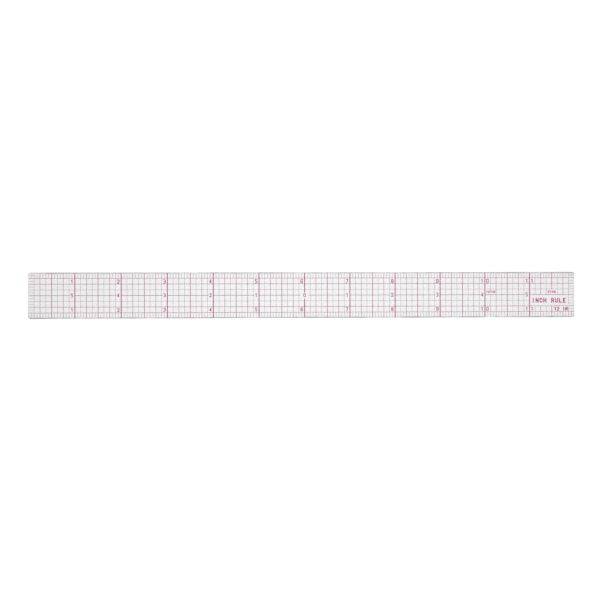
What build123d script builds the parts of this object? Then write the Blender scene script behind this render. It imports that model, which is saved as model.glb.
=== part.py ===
from build123d import *
import os

# A clear quilting ruler, 12 inches by 1 inch: a plastic base sheet, a layer of printed marks on it, and a
# thin clear cover sheet laminated over the print.
# Frame: X runs along the ruler and reads left to right, Y runs across it towards the upper edge, and Z
# points up. The origin is the middle of the face that the ruler lies on.

# ---- Sheets, in millimetres
INCH = 25.4
LENGTH_INCHES = 12
LENGTH = LENGTH_INCHES * INCH
WIDTH = 1 * INCH
BASE_THICKNESS = 0.50
BOND = 0.005  # of clear adhesive below the ink, and as much above it
INK_THICKNESS = 0.02
COVER_THICKNESS = 0.23
INK_LEVEL = BASE_THICKNESS + BOND
COVER_LEVEL = INK_LEVEL + INK_THICKNESS + BOND
BEVEL_WIDTH = 0.50  # of the cover's two long upper edges, measured across the ruler
BEVEL_DEPTH = 0.18
CORNER_RADIUS = 0.80  # of both sheets' four corners, seen from above
PRINT_MARGIN = 0.10  # the print stops this far inside the sheets' own edges

# ---- Graduations: the grid's step, and how wide each kind of line is printed
STEPS_PER_INCH = 8
STEP = INCH / STEPS_PER_INCH
HALF_INCH = 4  # places within an inch, in grid steps
QUARTERS = (2, 6)
EIGHTHS = (1, 3, 5, 7)
INCH_LINE = 0.55
HALF_LINE = 0.35
QUARTER_LINE = 0.25
EIGHTH_LINE = 0.15
CENTRE_LINE = 0.28  # along the ruler, halfway down
BAND_LINE = 0.23  # along the ruler, where the edge ticks end
LONG_LINE_WIDTHS = {1: BAND_LINE, 2: QUARTER_LINE, 3: EIGHTH_LINE, 4: CENTRE_LINE,
                    5: EIGHTH_LINE, 6: QUARTER_LINE, 7: BAND_LINE}  # by grid steps below the upper edge
TICK_LINE = 0.13
TICK_PHASE = 0.5  # a tick halves its grid step, so it marks a sixteenth of an inch

# ---- Numerals: outer height, pen width and places, which are inches down from the upper edge
UPPER_NUMERAL_HEIGHT = 2.35
NUMERAL_HEIGHT = 2.20
NUMERAL_PEN = 0.42
LEFT_DIGIT = 1.60  # from an inch line to the middle of the digit on its left
RIGHT_DIGIT = 1.45
UPPER_ROW = 0.1935
CENTRE_ROW = 0.496
LOWER_ROW = 0.812

# ---- Captions: middle (inches from the left end, inches down), outer height, pen width, letter spacing
TITLE = ("INCH RULE", 11.432, 0.627, 2.70, 0.58, 2.22)
LENGTH_MARK = ("12 IN", 11.703, 0.814, 2.20, 0.50, 1.60)
GRID_NOTE = ("8THS", 11.500, 0.437, 1.45, 0.31, 1.22)
TICK_NOTE = ("16THS", 10.130, 0.437, 1.40, 0.28, 1.05)

# ---- Windows in the grid, in inches: left, right, upper, lower. A line whose middle lies inside a window is
# left out over the window's span, so captions and centre numerals stand clear of the grid. A line on a
# window's own edge runs on and frames it.
TITLE_WINDOW = (11.0, 11.875, 0.5, 0.75)
LENGTH_MARK_WINDOW = (11.56, 11.875, 0.75, 0.875)
GRID_NOTE_WINDOW = (11.38, 11.62, 0.385, 0.5)
TICK_NOTE_WINDOW = (10.0, 10.24, 0.385, 0.5)
ZERO_INCH = LENGTH_INCHES // 2
ZERO_WINDOW = (ZERO_INCH - 0.095, ZERO_INCH + 0.095, 0.435, 0.575)
NUMERAL_WINDOW_START = -0.100  # of the gap in the centre line, from the inch line beside the numeral
NUMERAL_WINDOW_END = -0.012

# ---- Pen strokes of each mark, one unit tall. A point is (x, y) where the pen turns sharply, or
# (x, y, radius) where it turns in an arc, and a stroke that ends where it starts is a closed ring.
W = 0.56  # how far right of the origin a mark's strokes reach
MIDDLE = 0.53  # height of the crossbar in marks that have one
ROUND = 0.26
BOWL = 0.22  # the smaller arc of marks with one bowl above another
TIGHT = 0.18  # the arc at the open end of a 6 or a 9
MARK_STROKES = {
    "0": [[(0, 0, ROUND), (0, 1, ROUND), (W, 1, ROUND), (W, 0, ROUND), (0, 0, ROUND)]],
    "1": [[(0.08, 0.78), (0.32, 1), (0.32, 0)]],
    "2": [[(0, 0.72), (0, 1, ROUND), (W, 1, ROUND), (W, 0.54, 0.15), (0, 0), (W, 0)]],
    "3": [
        [(0.03, 1), (W, 1, BOWL), (W, MIDDLE, BOWL), (0.2, MIDDLE)],
        [(0.24, MIDDLE), (W, MIDDLE, BOWL), (W, 0, ROUND), (0.03, 0)],
    ],
    "4": [[(0.42, 0), (0.42, 1), (0, 0.27)], [(0, 0.27), (W, 0.27)]],
    "5": [[(0.5, 1), (0.04, 1), (0.04, 0.58), (W, 0.58, ROUND), (W, 0, ROUND), (0.03, 0)]],
    "6": [
        [(0, 0.3), (0, 1, ROUND), (W, 1, TIGHT), (W, 0.81)],
        [(0, 0, BOWL), (0, 0.52, BOWL), (W, 0.52, BOWL), (W, 0, BOWL), (0, 0, BOWL)],
    ],
    "7": [[(0, 1), (W, 1), (0.16, 0)]],
    "8": [
        [(0.04, 0.54, BOWL), (0.04, 1, BOWL), (0.52, 1, BOWL), (0.52, 0.54, BOWL), (0.04, 0.54, BOWL)],
        [(0, 0, ROUND), (0, 0.54, ROUND), (W, 0.54, ROUND), (W, 0, ROUND), (0, 0, ROUND)],
    ],
    "9": [
        [(W, 0.7), (W, 0, ROUND), (0, 0, TIGHT), (0, 0.19)],
        [(0, 0.48, BOWL), (0, 1, BOWL), (W, 1, BOWL), (W, 0.48, BOWL), (0, 0.48, BOWL)],
    ],
    "C": [[(W, 0.72), (W, 1, ROUND), (0, 1, ROUND), (0, 0, ROUND), (W, 0, ROUND), (W, 0.28)]],
    "E": [[(W, 1), (0, 1), (0, 0), (W, 0)], [(0, MIDDLE), (0.46, MIDDLE)]],
    "H": [[(0, 0), (0, 1)], [(W, 0), (W, 1)], [(0, MIDDLE), (W, MIDDLE)]],
    "I": [[(0.28, 0), (0.28, 1)]],
    "L": [[(0, 1), (0, 0), (W, 0)]],
    "N": [[(0, 0), (0, 1), (W, 0), (W, 1)]],
    "R": [[(0, 0), (0, 1)], [(0, 1), (W, 1, BOWL), (W, 0.5, BOWL), (0, 0.5)], [(0.26, 0.5), (W, 0)]],
    "S": [
        [(W, 0.76), (W, 1, BOWL), (0, 1, BOWL), (0, MIDDLE, BOWL), (W, MIDDLE, BOWL), (W, 0, BOWL),
         (0, 0, BOWL), (0, 0.24)],
    ],
    "T": [[(0, 1), (W, 1)], [(0.28, 0), (0.28, 1)]],
    "U": [[(0, 1), (0, 0, ROUND), (W, 0, ROUND), (W, 1)]],
}


def x_at(inches):
    """X of a place given in inches from the ruler's left end."""
    return inches * INCH - LENGTH / 2


def y_at(inches):
    """Y of a place given in inches down from the ruler's upper edge."""
    return WIDTH / 2 - inches * INCH


# ---- Printed lines. A line is (place, width, stretches): its middle, its width, and the spans that it
# covers in the other direction.

def clear_of(start, end, gaps):
    """The stretches of start..end that are left when every gap is taken out."""
    stretches = []
    for low, high in sorted(gaps):
        if start < min(low, end):
            stretches.append((start, min(low, end)))
        start = max(start, high)
    if start < end:
        stretches.append((start, end))
    return stretches


def windows():
    """Every window as (low x, high x, low y, high y), in millimetres."""
    in_inches = [TITLE_WINDOW, LENGTH_MARK_WINDOW, GRID_NOTE_WINDOW, TICK_NOTE_WINDOW, ZERO_WINDOW]
    half_height = 0.5 * NUMERAL_HEIGHT / INCH
    for inch in range(1, LENGTH_INCHES):
        if inch != ZERO_INCH:
            in_inches.append((inch + NUMERAL_WINDOW_START, inch + NUMERAL_WINDOW_END,
                              CENTRE_ROW - half_height, CENTRE_ROW + half_height))
    return [(x_at(left), x_at(right), y_at(lower), y_at(upper)) for left, right, upper, lower in in_inches]


def frame_half_width(y):
    """Half the width of the line along the ruler whose middle is at y, or 0 where there is none."""
    for steps, width in LONG_LINE_WIDTHS.items():
        if y == y_at(steps / STEPS_PER_INCH):
            return width / 2
    return 0


def across_line(steps, width):
    """A line across the ruler's full width, so many grid steps from the left end. It ends against the
    lines that frame a window."""
    x = x_at(steps / STEPS_PER_INCH)
    gaps = [(low_y - frame_half_width(low_y), high_y + frame_half_width(high_y))
            for low_x, high_x, low_y, high_y in WINDOWS if low_x < x < high_x]
    reach = WIDTH / 2 - PRINT_MARGIN
    return (x, width, clear_of(-reach, reach, gaps))


def lines_at(places, width):
    """The lines across the ruler at these places in every inch."""
    return [across_line(inch * STEPS_PER_INCH + place, width)
            for inch in range(LENGTH_INCHES) for place in places]


def edge_ticks(side):
    """The sixteenth-inch ticks of one long edge, each from the edge to the nearest grid line. side is 1
    for the upper edge and -1 for the lower."""
    outer = side * (WIDTH / 2 - PRINT_MARGIN)
    inner = side * (WIDTH / 2 - STEP + BAND_LINE / 2)
    count = LENGTH_INCHES * STEPS_PER_INCH
    return [(-LENGTH / 2 + (tick + TICK_PHASE) * STEP, TICK_LINE, [(min(outer, inner), max(outer, inner))])
            for tick in range(count)]


def crossing_gaps(y, across):
    """The spans that the lines across the ruler already cover at height y."""
    return [(x - width / 2, x + width / 2) for x, width, stretches in across
            if any(low < y < high for low, high in stretches)]


def along_line(steps):
    """A line along the ruler's full length, so many grid steps below the upper edge, cut where the lines
    across it already carry ink."""
    y = y_at(steps / STEPS_PER_INCH)
    gaps = [(low_x, high_x) for low_x, high_x, low_y, high_y in WINDOWS if low_y < y < high_y]
    reach = LENGTH / 2 - PRINT_MARGIN
    return (y, LONG_LINE_WIDTHS[steps], clear_of(-reach, reach, gaps + crossing_gaps(y, ACROSS_LINES)))


def end_ticks(side):
    """The sixteenth-inch ticks of one short end, each from the end to the nearest grid line. side is 1 for
    the right end and -1 for the left."""
    outer = side * (LENGTH / 2 - PRINT_MARGIN)
    inner = side * (LENGTH / 2 - STEP + EIGHTH_LINE / 2)
    ticks = []
    for tick in range(STEPS_PER_INCH):
        y = WIDTH / 2 - (tick + TICK_PHASE) * STEP
        gaps = crossing_gaps(y, UPPER_TICKS + LOWER_TICKS)
        ticks.append((y, TICK_LINE, clear_of(min(outer, inner), max(outer, inner), gaps)))
    return ticks


def ink_bar(low_x, high_x, low_y, high_y):
    """A printed bar."""
    bar = Box(high_x - low_x, high_y - low_y, INK_THICKNESS, align=(Align.MIN, Align.MIN, Align.MIN))
    return Pos(low_x, low_y, INK_LEVEL) * bar


def ink_across(lines):
    return [ink_bar(x - width / 2, x + width / 2, low, high)
            for x, width, stretches in lines for low, high in stretches]


def ink_along(lines):
    return [ink_bar(low, high, y - width / 2, y + width / 2)
            for y, width, stretches in lines for low, high in stretches]


# ---- Printed marks

def pen_area(stroke, height, pen):
    """The area that a round pen inks in one stroke of a mark."""
    ring = stroke[0] == stroke[-1]
    turns = stroke[:-1] if ring else stroke[1:-1]
    radii = [turn[2] * height if len(turn) > 2 else 0 for turn in turns]
    points = [(point[0] * height, point[1] * height) for point in stroke]
    path = FilletPolyline(*points, radius=radii) if turns else Line(*points)
    area = make_face(offset(path, pen / 2))
    return area - make_face(offset(path, -pen / 2)) if ring else area


def ink_mark(mark, height, pen):
    """One numeral or letter of the given outer height, centred on the Z axis."""
    path_height = height - pen
    area = Sketch()
    for stroke in MARK_STROKES[mark]:
        area += pen_area(stroke, path_height, pen)
    to_middle = Pos(-W / 2 * path_height, -path_height / 2, INK_LEVEL)
    return extrude(to_middle * area, INK_THICKNESS)


def ink_text(text, middle_x, middle_y, height, pen, spacing):
    """A row of marks centred on a point, each the same distance from the last."""
    first_x = middle_x - spacing * (len(text) - 1) / 2
    return [Pos(first_x + index * spacing, middle_y) * ink_mark(mark, height, pen)
            for index, mark in enumerate(text) if mark != " "]


def ink_caption(text, across, down, height, pen, spacing):
    return ink_text(text, x_at(across), y_at(down), height, pen, spacing)


def inch_numerals(row, height):
    """The row of inch numbers. A number has its first digit left of its line, and its second right."""
    marks = []
    for inch in range(1, LENGTH_INCHES):
        for digit, shift in zip(str(inch), (-LEFT_DIGIT, RIGHT_DIGIT)):
            place = Pos(x_at(inch) + shift, y_at(row))
            marks.append(place * ink_mark(digit, height, NUMERAL_PEN))
    return marks


def centre_numerals():
    """The row that counts inches both ways from the zero on the middle line."""
    marks = []
    for inch in range(1, LENGTH_INCHES):
        shift = 0 if inch == ZERO_INCH else LEFT_DIGIT
        place = Pos(x_at(inch) - shift, y_at(CENTRE_ROW))
        marks.append(place * ink_mark(str(abs(inch - ZERO_INCH)), NUMERAL_HEIGHT, NUMERAL_PEN))
    return marks


# ---- Clear sheets

def flat_sheet(thickness):
    """A sheet with the ruler's outline, cut square all round."""
    return extrude(RectangleRounded(LENGTH, WIDTH, CORNER_RADIUS), thickness)


def base_sheet():
    return flat_sheet(BASE_THICKNESS)


def cover_sheet():
    """The cover film, with a bevel along each long upper edge. Its short ends are cut square."""
    half = WIDTH / 2
    outline = Polyline(
        (-half, 0),
        (half, 0),
        (half, COVER_THICKNESS - BEVEL_DEPTH),
        (half - BEVEL_WIDTH, COVER_THICKNESS),
        (-half + BEVEL_WIDTH, COVER_THICKNESS),
        (-half, COVER_THICKNESS - BEVEL_DEPTH),
        close=True,
    )
    section = Plane.YZ * make_face(outline)
    bevelled_bar = extrude(section, LENGTH / 2, both=True)
    return Pos(0, 0, COVER_LEVEL) * (bevelled_bar & flat_sheet(COVER_THICKNESS))


# ---- Every printed line, by kind

WINDOWS = windows()
INCH_LINES = [across_line(inch * STEPS_PER_INCH, INCH_LINE) for inch in range(1, LENGTH_INCHES)]
HALF_INCH_LINES = lines_at([HALF_INCH], HALF_LINE)
QUARTER_INCH_LINES = lines_at(QUARTERS, QUARTER_LINE)
EIGHTH_INCH_LINES = lines_at(EIGHTHS, EIGHTH_LINE)
ACROSS_LINES = INCH_LINES + HALF_INCH_LINES + QUARTER_INCH_LINES + EIGHTH_INCH_LINES
UPPER_TICKS = edge_ticks(1)
LOWER_TICKS = edge_ticks(-1)

NODES = {
    "clear_base_sheet": [base_sheet()],
    "clear_cover_sheet": [cover_sheet()],
    "ink_inch_lines": ink_across(INCH_LINES),
    "ink_half_inch_lines": ink_across(HALF_INCH_LINES),
    "ink_quarter_inch_lines": ink_across(QUARTER_INCH_LINES),
    "ink_eighth_inch_lines": ink_across(EIGHTH_INCH_LINES),
    "ink_long_centre_line": ink_along([along_line(HALF_INCH)]),
    "ink_long_quarter_lines": ink_along([along_line(steps) for steps in QUARTERS]),
    "ink_long_eighth_lines": ink_along([along_line(steps) for steps in EIGHTHS]),
    "ink_upper_edge_ticks": ink_across(UPPER_TICKS),
    "ink_lower_edge_ticks": ink_across(LOWER_TICKS),
    "ink_left_end_ticks": ink_along(end_ticks(-1)),
    "ink_right_end_ticks": ink_along(end_ticks(1)),
    "ink_upper_numerals": inch_numerals(UPPER_ROW, UPPER_NUMERAL_HEIGHT),
    "ink_centre_numerals": centre_numerals(),
    "ink_lower_numerals": inch_numerals(LOWER_ROW, NUMERAL_HEIGHT),
    "ink_title": ink_caption(*TITLE),
    "ink_length_mark": ink_caption(*LENGTH_MARK),
    "ink_grid_note": ink_caption(*GRID_NOTE),
    "ink_tick_note": ink_caption(*TICK_NOTE),
}

os.makedirs("parts", exist_ok=True)
for name, solids in NODES.items():
    export_step(Compound(children=solids, label=name), f"parts/{name}.step")
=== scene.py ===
import math

import bpy
from mathutils import Euler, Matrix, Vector


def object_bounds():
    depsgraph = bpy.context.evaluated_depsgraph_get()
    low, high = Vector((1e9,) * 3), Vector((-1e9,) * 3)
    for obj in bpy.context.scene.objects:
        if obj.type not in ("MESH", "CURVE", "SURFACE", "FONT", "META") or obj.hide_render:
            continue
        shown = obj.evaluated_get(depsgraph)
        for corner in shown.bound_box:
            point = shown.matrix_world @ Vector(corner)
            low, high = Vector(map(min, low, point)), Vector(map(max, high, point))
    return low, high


# A clear quilting ruler lying on a white floor: two clear sheets with a magenta print sealed between them.
# Metres, in the CAD model's own frame: X along the ruler, Y across it, Z up from the face it lies on.

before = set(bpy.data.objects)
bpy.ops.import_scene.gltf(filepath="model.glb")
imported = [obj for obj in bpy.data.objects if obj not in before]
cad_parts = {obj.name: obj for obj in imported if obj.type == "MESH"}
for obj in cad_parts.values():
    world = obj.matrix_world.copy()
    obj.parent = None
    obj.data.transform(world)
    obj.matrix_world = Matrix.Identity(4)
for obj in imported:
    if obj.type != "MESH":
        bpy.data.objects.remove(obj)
CAD_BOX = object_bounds()
LOW, HIGH = CAD_BOX
CENTRE = (LOW + HIGH) / 2
MM = 0.001
WHITE = (1.0, 1.0, 1.0, 1.0)

# A stretch below is how many times finer a texture is along X, Y and Z. A span is the part of a noise
# texture's values that a look is spread over, and the look's two values are for the span's two ends.

# ---- Ink
INK_COLOUR = (0.44, 0.010, 0.165)
MOTTLE_SCALE = 1400.0
MOTTLE_SPAN = (0.3, 0.7)
INK_STRENGTHS = (0.88, 1.12)  # of the colour
INK_ROUGHNESS = (0.50, 0.68)
INK_DEPTH = 0.006 * MM  # of the ink's unevenness

# ---- Clear plastic
CLEAR_TINT = (0.9670, 0.9725, 0.9718, 1.0)  # what each face of a sheet lets through
PLASTIC_IOR = 1.49
FLAT_FACE = 0.97  # a face whose normal is this upright is polished; the others are cut

# ---- Rub marks in the polished faces
RUB_STRETCH = (0.35, 1.0, 1.0)
RUB_SCALE = 900.0
RUB_SPAN = (0.35, 0.7)
GLOSS_ROUGHNESS = (0.05, 0.13)
RUB_DEPTH = 0.003 * MM

# ---- Cut faces, which are dulled in patches and clear between them; their dark grey is partly a saw-cut finish and partly painted shade, standing in for the dark surroundings the edges refract
CUT_FINISH_AND_SHADE_COLOUR = (0.225, 0.225, 0.22, 1.0)
SAW_STRETCH = (1.0, 0.05, 0.05)
SAW_SCALE = 2600.0
SAW_SPAN = (0.3, 0.7)
SAW_ROUGHNESS = (0.28, 0.5)
SAW_DEPTH = 0.04 * MM
PATCH_STRETCH = (1.0, 1.0, 0.1)
PATCH_SCALE = 45.0
PATCH_SPAN = (0.32, 0.68)
DULL_AND_PAINTED_SHADE = (0.10, 0.75)  # from 0, clear, to 1, dulled and darkened with painted shade
CORNER_PAINTED_SHADE = 0.35  # painted shade: more darkening at the upper right and lower left corners
CORNER_SHADE_FALL = 8.0  # how steeply it falls off away from them

# ---- How much of that dulling and painted shade each kind of cut face has
SQUARE_SHARES = (0.4, 0.8)  # the long sides and the ends, which are cut square
BEVEL_SHARES = (1.45, 1.2)  # the lower bevel and the upper one; the lower one's higher share is painted shadow along that edge
BEVEL_TILT = 0.5  # a cut face whose normal is more upright than this is a bevel
BEVEL_FADE = (0.985, 0.995)  # where a bevel grows fainter, from the middle at 0 to an end at 1
BEVEL_END = 0.4  # how much of it is left at the end

# ---- Studio
FLOOR_GAP = 0.02 * MM
FLOOR_SIZE = 40.0
FLOOR_PAINTED_POOL_MIDDLE = 0.97  # painted light: how pale the floor is in the middle, a painted pool like the light of a soft lamp hung over it,
FLOOR_PAINTED_POOL_EDGE = 0.88  # as far out as the painted pool of light reaches,
FLOOR_PAINTED_SHADE_FAR = 0.66  # and, with painted shade, at the horizon, where it meets the dim foot of the sky
PAINTED_POOL_PLACE = 0.009  # how far the painted pool of light lies to the right of the middle of the ruler
# how far out the painted pool of light on the floor reaches
PAINTED_POOL_REACH = 0.16
PAINTED_POOL_FALL = 2.0  # the painted light on the floor dims with this power of the way out to the pool's reach
FLOOR_PAINTED_SHADE_SPAN = (0.3, 4.0)  # the stretch of floor over which painted shade dims it again, towards the horizon
SKY_STRENGTH = 1.2
HORIZON_STRENGTH = 0.8
HORIZON_HEIGHT = 0.4  # how far up the sky is at full strength, as the sine of its height

# ---- Camera: straight above, leaning a little along the ruler
CAMERA_DISTANCE = 0.600
CAMERA_TURN = (0.0, math.radians(-2.846), math.radians(-0.145))
CAMERA_TARGET = Vector((-0.00257, -0.00271, 0.0005))
CAMERA_LENS = 64.54
CAMERA_NEAREST = 0.01


class Nodes:
    """A short way to write a node tree: add(type, inputs...) makes a node and links or sets its sockets."""

    def __init__(self, tree):
        self.tree = tree
        tree.nodes.clear()

    def add(self, kind, sockets=None, **settings):
        node = self.tree.nodes.new(kind)
        for name, value in settings.items():
            setattr(node, name, value)
        for name, value in (sockets or {}).items():
            socket = node.inputs[name]
            if isinstance(value, bpy.types.NodeSocket):
                self.tree.links.new(value, socket)
            else:
                socket.default_value = value
        return node

    def maths(self, operation, first, second=0.0, clamp=False):
        node = self.add("ShaderNodeMath", {0: first, 1: second}, operation=operation, use_clamp=clamp)
        return node.outputs[0]

    def mapped(self, value, span, ends):
        """Carries a value from its place in the span to the same place between the two ends."""
        sockets = {"Value": value,
                   "From Min": span[0], "From Max": span[1],
                   "To Min": ends[0], "To Max": ends[1]}
        return self.add("ShaderNodeMapRange", sockets).outputs[0]

    def place(self, stretch=(1.0, 1.0, 1.0)):
        """A point of the object in its own frame, in metres, stretched along each axis."""
        point = self.add("ShaderNodeTexCoord").outputs["Object"]
        return self.add("ShaderNodeVectorMath", {0: point, 1: stretch}, operation="MULTIPLY").outputs[0]

    def noise(self, stretch, scale, detail, roughness=0.5):
        sockets = {"Vector": self.place(stretch), "Scale": scale, "Detail": detail, "Roughness": roughness}
        return self.add("ShaderNodeTexNoise", sockets).outputs["Fac"]

    def bump(self, height, depth):
        return self.add("ShaderNodeBump", {"Height": height, "Distance": depth}).outputs[0]

    def parts(self, vector):
        return self.add("ShaderNodeSeparateXYZ", {0: vector}).outputs

    def between(self, share, first, second):
        """A number the given share of the way from one number to another."""
        return self.add("ShaderNodeMix", {"Factor": share, 2: first, 3: second}).outputs[0]

    def colour_between(self, share, first, second):
        """The same for two colours, which are sockets 6 and 7 of the node, with the result in socket 2."""
        return self.add("ShaderNodeMix", {"Factor": share, 6: first, 7: second}, data_type="RGBA").outputs[2]

    def mix(self, share, first, second):
        """The same for two shaders."""
        return self.add("ShaderNodeMixShader", {0: share, 1: first, 2: second}).outputs[0]

    def finish(self, shader):
        self.add("ShaderNodeOutputMaterial", {"Surface": shader})


def new_material(name):
    material = bpy.data.materials.new(name)
    material.use_nodes = True
    return material, Nodes(material.node_tree)


def ink_material():
    """Magenta printing ink: dull, with a faint mottle in its density."""
    material, nodes = new_material("magenta_print_ink")
    mottle = nodes.noise((1.0, 1.0, 1.0), MOTTLE_SCALE, detail=3.0)
    density = nodes.mapped(mottle, MOTTLE_SPAN, (0.0, 1.0))
    weak, strong = [tuple(strength * part for part in INK_COLOUR) + (1.0,) for strength in INK_STRENGTHS]
    colour = nodes.colour_between(density, weak, strong)
    roughness = nodes.mapped(mottle, MOTTLE_SPAN, INK_ROUGHNESS)
    ink = nodes.add("ShaderNodeBsdfPrincipled", {"Base Color": colour, "Roughness": roughness,
                                                 "Normal": nodes.bump(mottle, INK_DEPTH)})
    nodes.finish(ink.outputs[0])
    return material


def polished_face(nodes, upright, outer_side, clear):
    """The sheet's outer face is clear and mirrors a little. Its inner face, which is bonded to the other
    sheet, only lets light through."""
    outward = nodes.maths("MULTIPLY", upright, float(outer_side))
    polished = nodes.maths("GREATER_THAN", outward, FLAT_FACE)
    backfacing = nodes.add("ShaderNodeNewGeometry").outputs["Backfacing"]
    front = nodes.maths("SUBTRACT", 1.0, backfacing)
    rubs = nodes.noise(RUB_STRETCH, RUB_SCALE, detail=4.0, roughness=0.6)
    roughness = nodes.mapped(rubs, RUB_SPAN, GLOSS_ROUGHNESS)
    gloss = nodes.add("ShaderNodeBsdfAnisotropic", {"Color": WHITE, "Roughness": roughness,
                                                    "Normal": nodes.bump(rubs, RUB_DEPTH)})
    fresnel = nodes.add("ShaderNodeFresnel", {"IOR": PLASTIC_IOR}).outputs[0]
    mirrored = nodes.maths("MULTIPLY", nodes.maths("MULTIPLY", fresnel, polished), front)
    return nodes.mix(mirrored, clear, gloss.outputs[0])


def dulling_and_painted_shade(nodes, normal):
    """How dulled and darkened a cut face is at each point, its dark grey partly a saw-cut finish and partly
    painted shade:
    it varies in patches along the edge, and with the kind of face, because a bevel scatters more light than a
    square side does."""
    spot = nodes.parts(nodes.place((1 / HIGH.x, 1 / HIGH.y, 1.0)))  # from -1 to 1 along the ruler, and across
    # painted shade: the cut faces darken towards the upper right and lower left corners
    corner = nodes.maths("MULTIPLY", spot["X"], spot["Y"], clamp=True)
    corner_painted_shade = nodes.maths("MULTIPLY", nodes.maths("POWER", corner, CORNER_SHADE_FALL), CORNER_PAINTED_SHADE)
    patches = nodes.noise(PATCH_STRETCH, PATCH_SCALE, detail=5.0, roughness=0.7)
    patchy = nodes.maths("ADD", nodes.mapped(patches, PATCH_SPAN, DULL_AND_PAINTED_SHADE), corner_painted_shade)

    end_face = nodes.maths("ABSOLUTE", normal["X"])
    square_share = nodes.mapped(end_face, (0.0, 1.0), SQUARE_SHARES)
    to_end = nodes.maths("ABSOLUTE", spot["X"])
    faded = nodes.mapped(to_end, BEVEL_FADE, (1.0, BEVEL_END))
    # painted shadow: the lower bevel gets a larger share of darkening than the upper one
    bevel_share = nodes.maths("MULTIPLY", nodes.mapped(spot["Y"], (-1.0, 1.0), BEVEL_SHARES), faded)
    bevel = nodes.maths("GREATER_THAN", normal["Z"], BEVEL_TILT)
    return nodes.maths("MULTIPLY", patchy, nodes.between(bevel, square_share, bevel_share), clamp=True)


def cut_face(nodes, normal, clear):
    """A sawn face: clear plastic with a dulled grey surface in patches, partly a saw-cut finish and partly
    painted shade.
    """
    saw = nodes.noise(SAW_STRETCH, SAW_SCALE, detail=2.0)
    roughness = nodes.mapped(saw, SAW_SPAN, SAW_ROUGHNESS)
    # painted shade: the dark grey of the dulled patches stands partly for shade refracted from the
    # surroundings
    dull_and_shaded = nodes.add("ShaderNodeBsdfPrincipled", {"Base Color": CUT_FINISH_AND_SHADE_COLOUR, "Roughness": roughness,
                                                  "IOR": PLASTIC_IOR, "Normal": nodes.bump(saw, SAW_DEPTH)})
    return nodes.mix(dulling_and_painted_shade(nodes, normal), clear, dull_and_shaded.outputs[0])


def sheet_material(name, outer_side):
    """Clear plastic, polished above and below and sawn all round, with bevels along the two long upper edges.
    outer_side is 1 where the sheet's outer face points up, and -1 where it points down."""
    material, nodes = new_material(name)
    normal = nodes.parts(nodes.add("ShaderNodeTexCoord").outputs["Normal"])
    clear = nodes.add("ShaderNodeBsdfTransparent", {"Color": CLEAR_TINT}).outputs[0]
    face = polished_face(nodes, normal["Z"], outer_side, clear)
    edge = cut_face(nodes, normal, clear)
    is_cut = nodes.maths("LESS_THAN", nodes.maths("ABSOLUTE", normal["Z"]), FLAT_FACE)
    nodes.finish(nodes.mix(is_cut, face, edge))
    return material


def dress(prefix, material):
    for name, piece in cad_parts.items():
        if name.startswith(prefix):
            piece.data.materials.clear()
            piece.data.materials.append(material)


def light_through_ink():
    """Keeps the ink's shadow, a twin of each line, off the floor half a millimetre under it."""
    for name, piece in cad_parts.items():
        if name.startswith("ink_"):
            piece.visible_diffuse = False
            piece.visible_shadow = False


def floor_material():
    """Pale and plain, with painted light and shade: a shade paler in a painted pool in the middle, and dimmer
    towards the horizon.
    """
    material, nodes = new_material("floor_with_painted_light")
    # Painted light and shade: the floor's colour is paler round the pool's centre and dimmer far out.
    reach = nodes.add("ShaderNodeVectorMath", {0: nodes.place()}, operation="LENGTH").outputs["Value"]
    painted_pool_share = nodes.maths("DIVIDE", reach, PAINTED_POOL_REACH, clamp=True)
    dimming = nodes.maths("POWER", painted_pool_share, PAINTED_POOL_FALL)
    near = nodes.mapped(dimming, (0.0, 1.0), (FLOOR_PAINTED_POOL_MIDDLE, FLOOR_PAINTED_POOL_EDGE))
    far = nodes.mapped(reach, FLOOR_PAINTED_SHADE_SPAN, (1.0, FLOOR_PAINTED_SHADE_FAR / FLOOR_PAINTED_POOL_EDGE))
    shade = nodes.maths("MULTIPLY", near, far)
    pale = nodes.add("ShaderNodeCombineColor", {"Red": shade, "Green": shade, "Blue": shade}).outputs[0]
    nodes.finish(nodes.add("ShaderNodeBsdfDiffuse", {"Color": pale}).outputs[0])
    return material


def make_floor():
    """A flat floor centred under its painted pool of light, wide enough to reach past the horizon in low
    views.
    """
    place = (CENTRE.x + PAINTED_POOL_PLACE, CENTRE.y, LOW.z - FLOOR_GAP)
    bpy.ops.mesh.primitive_plane_add(size=FLOOR_SIZE, location=place)
    floor = bpy.context.object
    floor.name = "floor"
    floor.data.materials.append(floor_material())


def light_studio():
    """Soft white light from all round, a little dimmer low down, where the polished faces mirror it."""
    world = bpy.data.worlds.new("studio")
    bpy.context.scene.world = world
    world.use_nodes = True
    world.cycles.sampling_method = "NONE"  # light this even needs no aiming at
    nodes = Nodes(world.node_tree)
    height = nodes.parts(nodes.add("ShaderNodeTexCoord").outputs["Generated"])["Z"]
    strength = nodes.mapped(height, (0.0, HORIZON_HEIGHT), (HORIZON_STRENGTH, SKY_STRENGTH))
    sky = nodes.add("ShaderNodeBackground", {"Color": WHITE, "Strength": strength})
    nodes.add("ShaderNodeOutputWorld", {"Surface": sky.outputs[0]})
    bpy.context.scene.view_settings.view_transform = "Standard"


def make_camera():
    data = bpy.data.cameras.new("camera")
    camera = bpy.data.objects.new("camera", data)
    bpy.context.scene.collection.objects.link(camera)
    data.lens = CAMERA_LENS
    data.clip_start = CAMERA_NEAREST
    turn = Euler(CAMERA_TURN)
    camera.rotation_euler = turn
    camera.location = CAMERA_TARGET + turn.to_matrix() @ Vector((0, 0, CAMERA_DISTANCE))
    bpy.context.scene.camera = camera


make_camera()
make_floor()
light_studio()
dress("ink_", ink_material())
dress("clear_cover", sheet_material("clear_cover_film", 1))
dress("clear_base", sheet_material("clear_base_plastic", -1))
light_through_ink()
